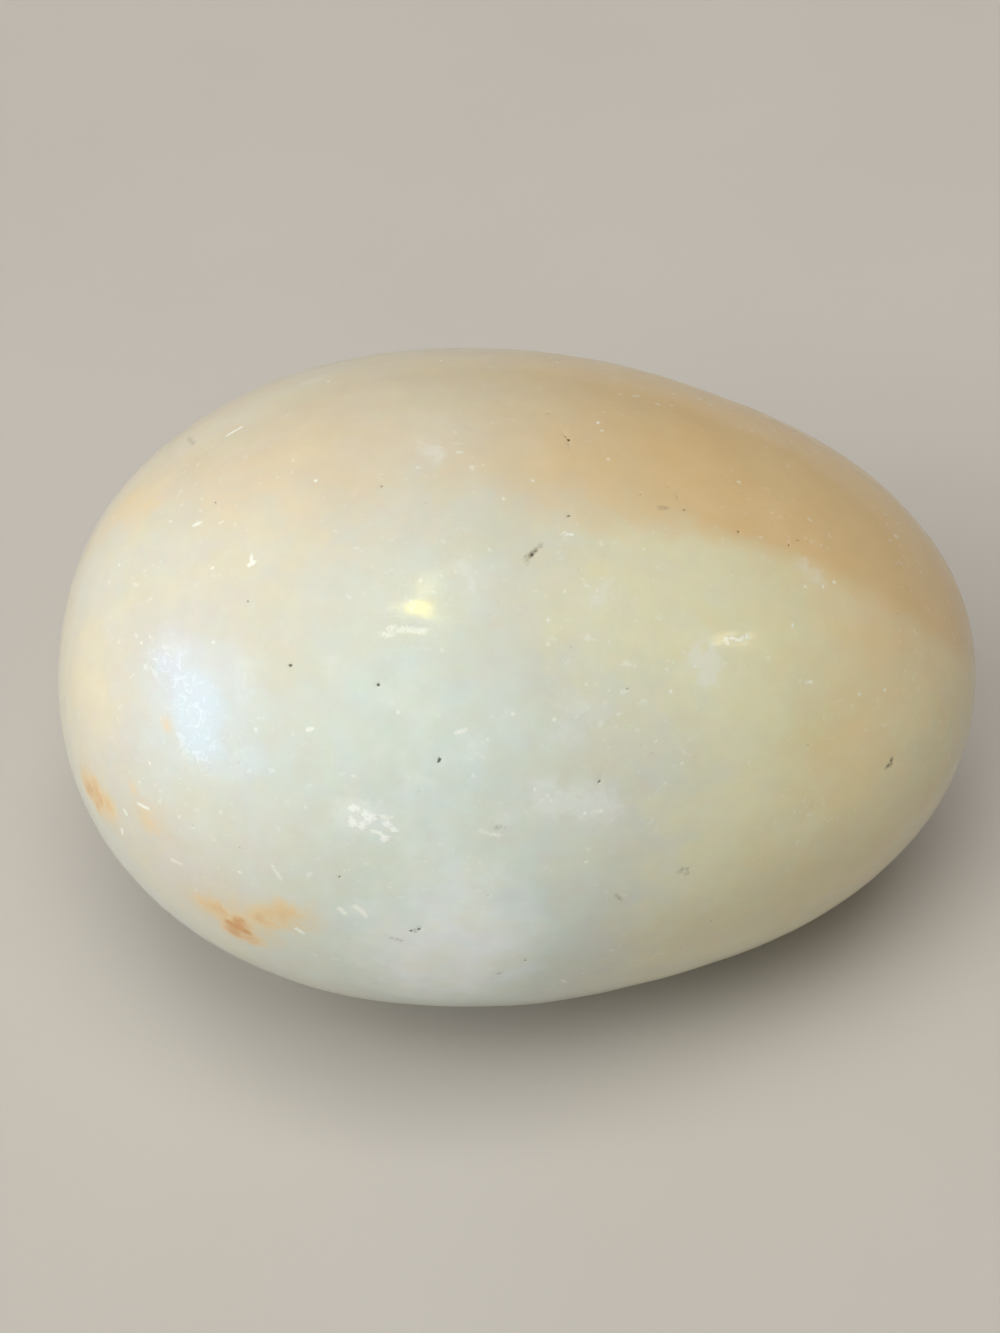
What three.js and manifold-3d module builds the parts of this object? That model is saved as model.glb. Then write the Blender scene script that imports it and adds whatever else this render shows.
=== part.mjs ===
// A whole ostrich egg, lying on its side in its natural rest pose.
//
// Millimetres, +Z up. The long axis lies along X with the pointed end towards +X. The origin is on the surface that
// the egg lies on, below the middle of its bounding box.

import * as THREE from "three";
import { mergeVertices } from "three/addons/utils/BufferGeometryUtils.js";
import Module from "manifold-3d";

// Driving dimensions of the shell.
const LENGTH = 160; // blunt pole to pointed pole
const BREADTH = 114; // across the widest ring
const TAPER = -0.104; // narrows the pointed end and fills out the blunt one
const FULLNESS = 0.068; // squares both shoulders a little beyond an ellipse
const SHOULDER = 0.029; // moves the widest ring slightly back towards the middle

// The small spot that the egg rests on, worn flat.
const FLAT_DEPTH = 0.36; // taken off the lowest point of the shell

// Facets: rings from pole to pole, and segments round each ring.
const RINGS = 46;
const SEGMENTS = 56;

// How finely the outline is summed, searched and merged.
const SLICES = 2000; // along the axis
const SEARCH_REACH = LENGTH / 4; // each way from the middle, where the resting ring is looked for
const SEARCH_TOLERANCE = 1e-6;
const MERGE_TOLERANCE = 1e-3; // vertices closer than this are one

// Colour and finish of the shell.
const SHELL_COLOUR = 0xe0d9c0;
const SHELL_ROUGHNESS = 0.38;

// Radius before scaling, at t from -1 (blunt pole) to 1 (pointed pole).
function rawRadius(t) {
  const bulge = 1 + TAPER * t + FULLNESS * t ** 2 + SHOULDER * t ** 3;
  return Math.sqrt(Math.max(0, 1 - t ** 2)) * bulge;
}

// The values of t in the middles of the slices, from the blunt pole to the pointed one.
const stations = Array.from({ length: SLICES }, (_, i) => (2 * i + 1) / SLICES - 1);
const radiusScale = BREADTH / 2 / Math.max(...stations.map(rawRadius));

// Radius of the shell at a distance along the axis from the middle of its length.
function radiusAt(along) {
  return radiusScale * rawRadius((2 * along) / LENGTH);
}

// How fast that radius grows along the axis.
function slopeAt(along) {
  const step = LENGTH / SLICES;
  return (radiusAt(along + step) - radiusAt(along - step)) / (2 * step);
}

// Where the centre of mass of the whole egg lies along its axis.
function centreOfMass() {
  let area = 0;
  let moment = 0;
  for (const t of stations) {
    const along = (t * LENGTH) / 2;
    area += radiusAt(along) ** 2;
    moment += radiusAt(along) ** 2 * along;
  }
  return moment / area;
}

// The egg lies at rest on the ring whose normal passes through the centre of mass. Near the middle of the egg that
// normal meets the axis at along + radius * slope, and halving the span again and again finds the ring.
function restStation() {
  const target = centreOfMass();
  let low = -SEARCH_REACH;
  let high = SEARCH_REACH;
  while (high - low > SEARCH_TOLERANCE) {
    const middle = (low + high) / 2;
    if (middle + radiusAt(middle) * slopeAt(middle) < target) low = middle;
    else high = middle;
  }
  return (low + high) / 2;
}

// The shell's outline from the blunt pole to the pointed one, with even steps round its curve.
function outline() {
  const points = [];
  for (let i = 0; i <= RINGS; i++) {
    const t = -Math.cos((Math.PI * i) / RINGS);
    const atPole = i === 0 || i === RINGS;
    points.push(new THREE.Vector2(atPole ? 0 : radiusScale * rawRadius(t), (t * LENGTH) / 2));
  }
  return points;
}

// The egg laid down along X, with its pointed end tipped down to the rest pose and its lowest point at z = 0.
function laidDown() {
  const tip = Math.atan(-slopeAt(restStation()));
  const geometry = new THREE.LatheGeometry(outline(), SEGMENTS);
  geometry.rotateZ(-Math.PI / 2);
  geometry.rotateY(tip);
  geometry.computeBoundingBox();
  const { min, max } = geometry.boundingBox;
  geometry.translate(-(min.x + max.x) / 2, -(min.y + max.y) / 2, -min.z);
  return geometry;
}

const wasm = await Module();
wasm.setup();

// A closed geometry as a solid that can be cut.
function solidOf(geometry) {
  const bare = geometry.clone().deleteAttribute("normal").deleteAttribute("uv");
  const merged = mergeVertices(bare, MERGE_TOLERANCE);
  return new wasm.Manifold(
    new wasm.Mesh({
      numProp: 3,
      vertProperties: merged.attributes.position.array,
      triVerts: new Uint32Array(merged.index.array),
    }),
  );
}

// A solid as a geometry again.
function geometryOf(solid) {
  const { vertProperties, triVerts } = solid.getMesh();
  const geometry = new THREE.BufferGeometry();
  geometry.setAttribute("position", new THREE.BufferAttribute(vertProperties, 3));
  geometry.setIndex(new THREE.BufferAttribute(triVerts, 1));
  return geometry;
}

// The egg with its resting spot cut flat, and that flat at z = 0.
function restedEgg() {
  const below = new THREE.BoxGeometry(LENGTH, BREADTH, BREADTH);
  below.translate(0, 0, FLAT_DEPTH - BREADTH / 2);
  const geometry = geometryOf(solidOf(laidDown()).subtract(solidOf(below)));
  geometry.translate(0, 0, -FLAT_DEPTH);
  geometry.computeVertexNormals();
  return geometry;
}

const shell = new THREE.MeshStandardMaterial({
  name: "eggshell",
  color: SHELL_COLOUR,
  roughness: SHELL_ROUGHNESS,
  metalness: 0,
});

const egg = new THREE.Mesh(restedEgg(), shell);
egg.name = "egg";

const ostrichEgg = new THREE.Group();
ostrichEgg.name = "ostrich_egg";
ostrichEgg.add(egg);

export default ostrichEgg;
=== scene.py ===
"""The looks of a whole ostrich egg that lies on its side, in metres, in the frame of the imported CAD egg."""

import logging
import math
from dataclasses import dataclass
from enum import Enum
from functools import cached_property

import bpy
import numpy as np
from mathutils import Matrix, Vector
from mathutils.bvhtree import BVHTree


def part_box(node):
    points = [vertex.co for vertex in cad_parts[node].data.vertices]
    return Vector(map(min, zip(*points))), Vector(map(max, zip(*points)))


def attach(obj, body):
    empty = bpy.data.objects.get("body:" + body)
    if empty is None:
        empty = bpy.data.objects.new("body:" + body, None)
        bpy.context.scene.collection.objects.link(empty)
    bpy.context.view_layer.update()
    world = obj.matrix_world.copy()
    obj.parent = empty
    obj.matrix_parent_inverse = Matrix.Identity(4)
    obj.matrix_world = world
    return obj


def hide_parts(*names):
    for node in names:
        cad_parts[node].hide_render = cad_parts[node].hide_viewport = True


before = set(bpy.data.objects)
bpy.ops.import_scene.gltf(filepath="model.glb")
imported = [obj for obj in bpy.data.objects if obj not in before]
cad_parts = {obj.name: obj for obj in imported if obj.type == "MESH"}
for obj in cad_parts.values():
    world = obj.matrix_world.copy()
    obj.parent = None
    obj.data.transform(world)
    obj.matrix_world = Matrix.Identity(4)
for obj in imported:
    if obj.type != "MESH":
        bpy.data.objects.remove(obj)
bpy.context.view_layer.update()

log = logging.getLogger("ostrich_egg")

MM = 0.001
EGG_NODE = "egg"
EGG_BODY = "root"

Array = np.ndarray
Socket = bpy.types.NodeSocket
Triple = tuple[float, float, float]
Colour = Triple
Sighting = tuple[float, float]
Rise = tuple[float, ...]


def linear(colour: Colour) -> tuple[float, float, float, float]:
    """Turns a screen colour, 0 to 255 a channel, into the linear one that shaders take, with alpha 1."""
    shares = [channel / 255 for channel in colour]
    return (*(s / 12.92 if s <= 0.04045 else ((s + 0.055) / 1.055) ** 2.4 for s in shares), 1.0)


def unit(vectors: Array) -> Array:
    """Returns these vectors, along the last axis, at a length of 1."""
    return vectors / np.linalg.norm(vectors, axis=-1, keepdims=True)


def soft_step(values: Array, low: float, high: float) -> Array:
    """Returns a smooth rise from 0, where a value is low or less, to 1, where it is high or more."""
    share = np.clip((values - low) / (high - low), 0, 1)
    return share * share * (3 - 2 * share)


def nearness(points: Array, place: Array, reach: float) -> Array:
    """Returns a soft hump over these points: 1 at the place, falling away over the reach."""
    away = np.linalg.norm(points - place, axis=1)
    return np.exp(-0.5 * (away / reach) ** 2)


def heading(azimuth: float, elevation: float) -> Vector:
    """Returns the way out to these angles in degrees. Azimuth 0 is the front, and 90 the pointed end."""
    a, e = math.radians(azimuth), math.radians(elevation)
    return Vector((math.sin(a) * math.cos(e), -math.cos(a) * math.cos(e), math.sin(e)))


def put_in_scene(name: str, data: bpy.types.ID) -> bpy.types.Object:
    """Makes an object and puts it in the scene.

    Args:
        name: The object's name.
        data: Its mesh, light or camera.

    Returns:
        The object.
    """
    made = bpy.data.objects.new(name, data)
    bpy.context.scene.collection.objects.link(made)
    return made


@dataclass(frozen=True)
class EggForm:
    """The smooth outline of the egg and its pose at rest.

    About its own axis, +X is the pointed end. The radius at t, from -1 at the blunt pole to 1 at the pointed
    one, is that of an ellipse times a cubic bulge.
    """

    length: float = 160 * MM
    breadth: float = 114 * MM
    taper: float = -0.104
    fullness: float = 0.068
    shoulder: float = 0.029
    flat_depth: float = 0.36 * MM
    flat_rounding: float = 0.03 * MM
    slices: int = 4000

    def bulge(self, t: Array) -> Array:
        """Returns how far the radius at t exceeds the ellipse's."""
        return 1 + self.taper * t + self.fullness * t**2 + self.shoulder * t**3

    def raw_radius(self, t: Array) -> Array:
        """Returns the radius at t before scaling."""
        return np.sqrt(1 - t**2) * self.bulge(t)

    def t_at(self, points: Array) -> Array:
        """Returns t at these points about the egg's own axis, as a column."""
        return np.clip(points[:, :1] / (self.length / 2), -1, 1)

    @cached_property
    def stations(self) -> Array:
        """The values of t in the middles of even slices."""
        return (2 * np.arange(self.slices) + 1) / self.slices - 1

    @cached_property
    def scale(self) -> float:
        """The radius for each unit of the outline before scaling."""
        return float(self.breadth / 2 / self.raw_radius(self.stations).max())

    @cached_property
    def tip(self) -> float:
        """Works out how far the pointed end drops when the egg comes to rest.

        Returns:
            The angle in radians.
        """
        along = self.stations * self.length / 2
        radius = self.scale * self.raw_radius(self.stations)
        slope = np.gradient(radius, along)
        centre = (radius**2 * along).sum() / (radius**2).sum()
        middle = np.abs(along) < self.length / 4
        meets = along[middle] + radius[middle] * slope[middle]
        return float(-math.atan(np.interp(centre, meets, slope[middle])))

    def onto(self, directions: Array) -> Array:
        """Puts unit directions from the middle of the egg, about its own axis, onto the shell."""
        across = self.scale * self.bulge(directions[:, :1])
        return directions * np.hstack([np.full_like(across, self.length / 2), across, across])

    def directions(self, points: Array) -> Array:
        """Returns the unit direction that onto() would put at each of these points about the egg's axis."""
        t = self.t_at(points)
        return unit(np.hstack([t, points[:, 1:] / (self.scale * self.bulge(t))]))

    def normals(self, points: Array) -> Array:
        """Works out which way the shell faces.

        Args:
            points: Points of the shell about its own axis, one a row.

        Returns:
            The outward unit normal at each.
        """
        t = self.t_at(points)[:, 0]
        bulge_slope = self.taper + 2 * self.fullness * t + 3 * self.shoulder * t**2
        squared_slope = -2 * t * self.bulge(t) ** 2 + (1 - t**2) * 2 * self.bulge(t) * bulge_slope
        along = -(self.scale**2) * squared_slope / self.length
        return unit(np.column_stack([along, points[:, 1], points[:, 2]]))


class RestPose:
    """Moves points between the egg's own axis and the CAD frame, where it lies on its flat spot."""

    def __init__(self, form: EggForm, sample: Array) -> None:
        """Finds the pose.

        Args:
            form: The egg's outline.
            sample: Points all over the shell about its own axis.
        """
        self.turn = np.array(Matrix.Rotation(form.tip, 3, "Y"))
        turned = sample @ self.turn.T
        low, high = turned.min(axis=0), turned.max(axis=0)
        lowest, highest = (np.array(corner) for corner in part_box(EGG_NODE))
        self.shift = (lowest + highest) / 2 - (low + high) / 2
        self.shift[2] = -form.flat_depth - low[2]

    def to_frame(self, points: Array) -> Array:
        """Moves points from the egg's own axis into the CAD frame."""
        return points @ self.turn.T + self.shift

    def to_own(self, points: Array) -> Array:
        """Moves points from the CAD frame to the egg's own axis."""
        return (points - self.shift) @ self.turn

    def turned(self, vectors: Array) -> Array:
        """Turns directions from the egg's own axis into the CAD frame."""
        return vectors @ self.turn.T


@dataclass(frozen=True)
class Viewpoint:
    """Where the egg is seen from, and the size in pixels of the view that marks are sighted in."""

    azimuth: float = -3.9
    elevation: float = 50.0
    distance: float = 480 * MM
    view_size: tuple[int, int] = (1000, 1333)
    focal_pixels: float = 2750.0
    middle_seen_at: Sighting = (503.7, 677.4)
    egg_middle: Triple = (-2.9 * MM, 0.0, 56.3 * MM)
    sensor: float = 36.0
    nearest: float = 10 * MM

    @cached_property
    def axes(self) -> tuple[Vector, Vector, Vector]:
        """Works out how a camera stands that looks straight at the egg's middle.

        Returns:
            Its right, up and back.
        """
        back = heading(self.azimuth, self.elevation)
        right = heading(self.azimuth + 90, 0)
        return right, back.cross(right), back

    @cached_property
    def eye(self) -> Vector:
        """The place of the camera."""
        return Vector(self.egg_middle) + self.axes[2] * self.distance

    @cached_property
    def turn(self) -> Matrix:
        """Aims the camera so that the egg's middle is seen where it should be.

        Returns:
            The camera's rotation.
        """
        right, up, back = self.axes
        across, down = self.off_middle(self.middle_seen_at)
        aim = (-back - right * across + up * down).normalized()
        level = aim.cross(Vector((0, 0, 1))).normalized()
        return Matrix((level, level.cross(aim), -aim)).transposed()

    def off_middle(self, seen_at: Sighting) -> Sighting:
        """Returns how far across and down from the middle of the view a sighting is, at a distance of 1."""
        wide, high = self.view_size
        return (seen_at[0] - wide / 2) / self.focal_pixels, (seen_at[1] - high / 2) / self.focal_pixels

    def ray(self, seen_at: Sighting) -> Vector:
        """Returns the direction in which a sighted place is seen."""
        across, down = self.off_middle(seen_at)
        return (self.turn @ Vector((across, -down, -1))).normalized()

    def build(self) -> bpy.types.Object:
        """Makes the camera and gives it to the scene.

        Returns:
            The camera.
        """
        lens = bpy.data.cameras.new("viewpoint")
        lens.sensor_width = self.sensor
        lens.lens = self.focal_pixels / max(self.view_size) * self.sensor
        lens.clip_start = self.nearest
        camera = put_in_scene("viewpoint", lens)
        camera.matrix_world = Matrix.Translation(self.eye) @ self.turn.to_4x4()
        bpy.context.scene.camera = camera
        return camera


class Surveyor:
    """Finds the places on the shell that are sighted in the view."""

    def __init__(self, form: EggForm, pose: RestPose, viewpoint: Viewpoint) -> None:
        """Keeps what a sighting is worked out from.

        Args:
            form: The egg's outline.
            pose: Where the egg lies.
            viewpoint: Where it is seen from.
        """
        self.form = form
        self.pose = pose
        self.viewpoint = viewpoint
        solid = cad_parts[EGG_NODE].data
        faces = [polygon.vertices[:] for polygon in solid.polygons]
        self.tree = BVHTree.FromPolygons([vertex.co for vertex in solid.vertices], faces)

    def place(self, seen_at: Sighting) -> Array:
        """Finds a sighted place.

        Args:
            seen_at: Pixels across and down the view.

        Returns:
            The shell's point there, in the CAD frame.
        """
        hit = self.tree.ray_cast(self.viewpoint.eye, self.viewpoint.ray(seen_at))[0]
        if hit is None:
            raise ValueError(f"nothing of the egg is seen at {seen_at}")
        return self.onto_shell(np.array([hit]))[0]

    def onto_shell(self, points: Array) -> Array:
        """Puts points of the CAD frame onto the smooth shell, by their direction from its middle."""
        own = self.pose.to_own(points)
        return self.pose.to_frame(self.form.onto(self.form.directions(own)))

    def mirrored(self, seen_at: Sighting) -> tuple[Vector, Vector]:
        """Finds where a light has to be for its reflection to show at a sighted place.

        Args:
            seen_at: Pixels across and down the view.

        Returns:
            The shell's point there, and the unit direction from it to the light.
        """
        point = self.place(seen_at)
        own = self.pose.to_own(point[None])
        normal = Vector(self.pose.turned(self.form.normals(own))[0])
        return Vector(point), self.viewpoint.ray(seen_at).reflect(normal)


class MarkKind(Enum):
    """What a mark on the shell is. The value is the mesh attribute that holds it."""

    PORE = "pores"
    # Pale chip marks; in two sighted groups they also paint a reflection streak and a glint.
    NICK_AND_GLINT = "nicks_and_glints"
    CRUST = "crusts"
    RUST = "rust"
    SMUDGE = "smudges"
    # Pale soft patches; a few sighted ones are painted sheen and highlight.
    BLOOM = "blooms_and_sheen"
    # Scuff marks: real wear where strewn on the hidden sides; where sighted in view, a painted highlight of
    # pale scratch lines inside the window and lamp reflections.
    SCUFF_AND_HIGHLIGHT = "scuffs_and_highlights"

    @property
    def relief(self) -> float:
        """How far the mark stands out of the shell, in metres. A pit is negative."""
        return {
            MarkKind.PORE: -0.14 * MM,
            MarkKind.NICK_AND_GLINT: -0.03 * MM,
            MarkKind.CRUST: 0.07 * MM,
            MarkKind.RUST: -0.012 * MM,
            MarkKind.SMUDGE: -0.04 * MM,
            MarkKind.BLOOM: 0.006 * MM,
            MarkKind.SCUFF_AND_HIGHLIGHT: 0.0,
        }[self]

    @property
    def soft(self) -> bool:
        """Whether the mark fades away instead of ending at an edge."""
        return self in (MarkKind.RUST, MarkKind.BLOOM, MarkKind.SCUFF_AND_HIGHLIGHT)

    @property
    def outside(self) -> float:
        """What the mark's field holds well outside it."""
        return 0.0 if self.soft else -1.0


@dataclass(frozen=True)
class Mark:
    """One mark, round about a point or along a short line, in the CAD frame.

    FADE is how fast a soft one falls away from its middle line.
    """

    FADE = 1.4

    kind: MarkKind
    start: Array
    end: Array
    width: float
    strength: float

    def depth_inside(self, points: Array) -> Array:
        """Measures how far points are inside the mark.

        Args:
            points: Points of the shell, one a row.

        Returns:
            The mark's strength on its middle line. A soft mark falls away from there to 0, and any other is
            0 at its edge and less outside it.
        """
        along = self.end - self.start
        length = float(along @ along)
        share = np.clip((points - self.start) @ along / length, 0, 1) if length > 0 else np.zeros(len(points))
        away = np.linalg.norm(points - self.start - share[:, None] * along, axis=1)
        reach = (away / (self.width / 2)) ** 2
        if self.kind.soft:
            return self.strength * np.exp(-self.FADE * reach)
        return np.maximum(self.strength * (1 - reach), self.kind.outside)


@dataclass(frozen=True)
class SightedMarks:
    """Marks of one kind, width and strength that show in the view.

    Each is two pixel coordinates, across and down, for a round mark, or four for a line from one place to
    another.
    """

    kind: MarkKind
    width: float
    strength: float
    seen: tuple[tuple[float, ...], ...]

    def found(self, surveyor: Surveyor) -> list[Mark]:
        """Returns the marks, placed on the shell by the surveyor."""
        return [
            Mark(self.kind, surveyor.place(s[:2]), surveyor.place(s[-2:]), self.width, self.strength)
            for s in self.seen
        ]


DEEP_PORES = SightedMarks(MarkKind.PORE, 0.80 * MM, 1.0, (
    (440, 759, 439, 761), (378.5, 685), (599, 781.5), (684, 510.5), (568.3, 515.8), (568.5, 440.5),
    (290.5, 665.5), (532.3, 554.7), (411, 930.5), (419.5, 929),
))
FINE_PORES = SightedMarks(MarkKind.PORE, 0.62 * MM, 0.85, (
    (565.5, 437), (568.5, 445), (677.5, 497.5), (668.7, 487.8), (640, 494), (738.5, 531.5), (382, 486),
    (536.2, 550.5), (488, 897), (478.5, 915.5), (525.5, 960.5), (499, 973.5), (340, 876), (240.5, 847.5),
    (627, 688.5), (248, 601.5), (215, 503), (798, 540), (789, 545), (891.3, 761), (888.5, 766),
))
FAINT_PORES = SightedMarks(MarkKind.PORE, 0.66 * MM, 0.45, (
    (548, 413.5), (910, 541), (897, 614), (571, 647), (623, 669.5), (772.5, 823), (781.6, 817.7),
    (812.5, 806), (808.3, 744.7), (785.5, 740), (914, 741), (918, 742), (374, 801.5), (419.5, 791),
    (224, 846), (239, 763), (193, 826), (490, 615), (499, 602), (682, 951), (656, 900), (712, 922.5),
    (688, 891.5), (639, 902), (426, 503.5), (674.7, 513), (578.5, 570), (501.5, 973.5), (577.8, 802.8),
    (640.7, 745.3), (651.7, 752.3), (606.2, 761), (521.4, 792.2), (632.6, 825.5), (649, 821),
))
DARK_SMUDGES = SightedMarks(MarkKind.SMUDGE, 1.1 * MM, 1.0, (
    (530, 556, 536, 550), (886, 768, 891, 764), (891, 764, 892, 759),
))
FAINT_SMUDGES = SightedMarks(MarkKind.SMUDGE, 1.3 * MM, 0.5, (
    (525, 557, 527, 563), (536, 550, 542, 544), (187, 436, 193, 442), (391, 937, 402, 940),
    (658, 508, 667, 508), (679, 873, 683, 868), (687, 869, 687, 874), (616, 895, 621, 899),
    (414, 931, 417, 930), (496, 828, 503, 827),
))
WIDE_NICKS = SightedMarks(MarkKind.NICK_AND_GLINT, 1.25 * MM, 1.0, (
    (340, 908, 345, 913), (355, 906, 359, 908), (361, 909, 366, 916), (297, 928, 303, 932),
    (124, 810, 126, 814),
))
# Painted reflection: the bright streak just under the lamp glint, drawn as pale shallow marks.
LAMP_REFLECTION_STREAK = SightedMarks(MarkKind.NICK_AND_GLINT, 1.5 * MM, 0.62, (
    (389, 628, 395, 627), (399, 630, 405, 629), (409, 629, 417, 630), (419, 631, 428, 630),
    (380, 634, 392, 635),
))
# Partly painted highlight: small chips whose pale dash also stands in for the cream glint they catch, right
# of the middle.
SHALLOW_NICKS_AND_GLINT = SightedMarks(MarkKind.NICK_AND_GLINT, 1.15 * MM, 0.8, (
    (725, 638, 725.5, 640), (730.5, 638, 732, 638), (735, 640, 738, 640.5), (740.5, 639, 742, 638),
    (727, 644), (747, 634, 748.5, 638),
))
LONG_NICKS = SightedMarks(MarkKind.NICK_AND_GLINT, 0.92 * MM, 1.0, (
    (227, 434, 242, 425), (194, 526, 202, 522), (248, 566, 255, 562), (252, 564, 252, 556),
    (561, 534, 573, 535), (138, 804, 148, 809), (122, 829, 122, 834), (380, 815, 392, 818),
    (372, 830, 380, 832), (380, 832, 387, 840),
))
SHORT_NICKS = SightedMarks(MarkKind.NICK_AND_GLINT, 1.0 * MM, 0.85, (
    (441, 361), (328, 380), (171.5, 522), (120, 565), (139, 782), (213, 568.5), (316, 480.5), (822, 587),
    (805, 586.5), (834, 582), (580.2, 818), (535, 790), (554, 720), (607.7, 690.5), (884.7, 690),
    (654.8, 740.5), (586.2, 862), (562, 981, 566, 983), (495, 980.5), (484, 907), (240.5, 872),
    (398, 712.5), (307, 730, 314, 728), (455, 733, 466, 730), (468.5, 747), (149.5, 763.5), (513, 714),
    (557, 363.5), (598, 423), (792, 625.4), (142, 643), (363.5, 825), (666, 670), (670, 691.5), (585, 813),
))
FAINT_NICKS = SightedMarks(MarkKind.NICK_AND_GLINT, 1.15 * MM, 0.55, (
    (110, 583), (120, 641.5), (214.5, 643), (182, 505), (292.5, 460), (602, 431), (608, 459), (532.6, 481),
    (503.5, 499), (489, 550), (559, 552), (565.2, 592), (548, 644), (738.5, 482.5), (859, 694),
    (806, 682, 812, 682), (681.4, 763), (748, 763), (664.7, 782.6), (488, 740), (354, 775.5), (473, 775.5),
    (129.7, 771.5), (172, 860, 181, 864), (196, 890), (219, 867), (272, 864, 282, 879), (221, 812),
    (444, 971), (695, 868.5), (442.5, 650), (672.7, 662.3), (724.8, 664.4), (256, 730), (586, 685),
    (683.6, 651.4), (604.5, 702), (620, 692.5, 626, 691), (548.4, 620), (694.5, 666.6), (798.5, 681),
    (478, 831, 500, 836), (592, 812, 603, 810), (548, 795), (552, 801), (541, 800),
))
CRUST_GRAINS = SightedMarks(MarkKind.CRUST, 1.9 * MM, 0.9, (
    (352, 808, 356, 807), (363, 825), (352, 820, 354, 823), (373.5, 816, 370, 819), (387.3, 824),
    (395.7, 829), (366, 812), (385, 838),
))
# Pale soft patches; the first, right of the middle, is partly a painted soft highlight.
PALE_BLOOMS_AND_HIGHLIGHT = SightedMarks(MarkKind.BLOOM, 7.4 * MM, 1.1, (
    (702, 657, 706, 670), (352, 812, 368, 820), (545, 796, 550, 803), (578, 802, 604, 806),
))
# Faint pale patches; the one just above and right of the lamp glint is a painted sheen of the lamp.
FAINT_BLOOMS_AND_SHEEN = SightedMarks(MarkKind.BLOOM, 6.0 * MM, 0.5, (
    (332, 668), (418, 682), (386, 697), (313, 379), (475, 740), (505, 712), (355, 908),
    (590, 598, 610, 592), (560, 700, 590, 712), (460, 565, 475, 585), (380, 812, 400, 820),
    (556, 728, 572, 740), (808, 568, 814, 572), (520, 788), (426, 446, 436, 456), (184, 648),
    (244, 668, 246, 690), (500, 820, 530, 812),
))
RUST_CORES = SightedMarks(MarkKind.RUST, 7.0 * MM, 0.84, (
    (241, 923, 235, 930),
))
RUST_STREAKS = SightedMarks(MarkKind.RUST, 3.0 * MM, 0.94, (
    (230, 922, 248, 931),
))
RUST_BANDS = SightedMarks(MarkKind.RUST, 7.0 * MM, 0.62, (
    (88, 790, 95, 786), (97, 804, 104, 800), (240, 931, 249, 937),
))
RUST_TAILS = SightedMarks(MarkKind.RUST, 9.5 * MM, 0.52, (
    (222, 914, 252, 936), (256, 916, 284, 910), (266, 919, 276, 918), (208, 904, 220, 909),
    (86, 782, 108, 806),
))
RUST_HALOS = SightedMarks(MarkKind.RUST, 15 * MM, 0.36, (
    (206, 904, 304, 917), (244, 932, 262, 930), (90, 782, 106, 812), (149.6, 820), (124, 507, 150, 502),
))
OCHRE_SPOTS = SightedMarks(MarkKind.RUST, 4.4 * MM, 0.36, (
    (149.6, 820, 147, 816), (165, 722, 169, 728), (132, 787, 134, 791),
))
# Painted highlight: pale scratch lines laid where the window and lamp reflections fall, standing in for real
# hairline scratch marks that show only inside those reflections.
WINDOW_HIGHLIGHT_SCRATCHES = SightedMarks(MarkKind.SCUFF_AND_HIGHLIGHT, 9 * MM, 1.0, (
    (163, 662, 190, 690), (186, 700, 205, 715), (192, 735, 200, 756),
))
HIGHLIGHT_SCRATCH_AREAS = SightedMarks(MarkKind.SCUFF_AND_HIGHLIGHT, 14 * MM, 0.45, (
    (170, 660, 230, 740), (405, 606, 440, 606), (420, 630),
))
SIGHTED = (
    DEEP_PORES, FINE_PORES, FAINT_PORES, DARK_SMUDGES, FAINT_SMUDGES, WIDE_NICKS, LAMP_REFLECTION_STREAK, SHALLOW_NICKS_AND_GLINT,
    LONG_NICKS, SHORT_NICKS, FAINT_NICKS, CRUST_GRAINS, PALE_BLOOMS_AND_HIGHLIGHT, FAINT_BLOOMS_AND_SHEEN, RUST_CORES, RUST_STREAKS,
    RUST_BANDS, RUST_TAILS, RUST_HALOS, OCHRE_SPOTS, WINDOW_HIGHLIGHT_SCRATCHES, HIGHLIGHT_SCRATCH_AREAS,
)


@dataclass(frozen=True)
class HiddenMarks:
    """Marks of one kind, strewn over the sides that the view doesn't show."""

    kind: MarkKind
    count: int
    width: tuple[float, float]
    length: tuple[float, float]
    strength: tuple[float, float]

    def strewn(self, form: EggForm, pose: RestPose, eye: Array, draw: np.random.Generator) -> list[Mark]:
        """Strews the marks.

        Args:
            form: The egg's outline.
            pose: Where the egg lies.
            eye: The viewpoint, whose side of the egg is kept clear.
            draw: The source of random numbers.

        Returns:
            The marks, on the shell.
        """
        marks = []
        while len(marks) < self.count:
            own = form.onto(unit(draw.normal(size=(1, 3))))
            sideways = unit(np.cross(form.normals(own), draw.normal(size=(1, 3))))
            far = form.onto(form.directions(own + sideways * draw.uniform(*self.length)))
            width, strength = draw.uniform(*self.width), draw.uniform(*self.strength)
            start, end = pose.to_frame(own)[0], pose.to_frame(far)[0]
            if (eye - start) @ pose.turned(form.normals(own))[0] < 0:
                marks.append(Mark(self.kind, start, end, width, strength))
        return marks


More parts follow.
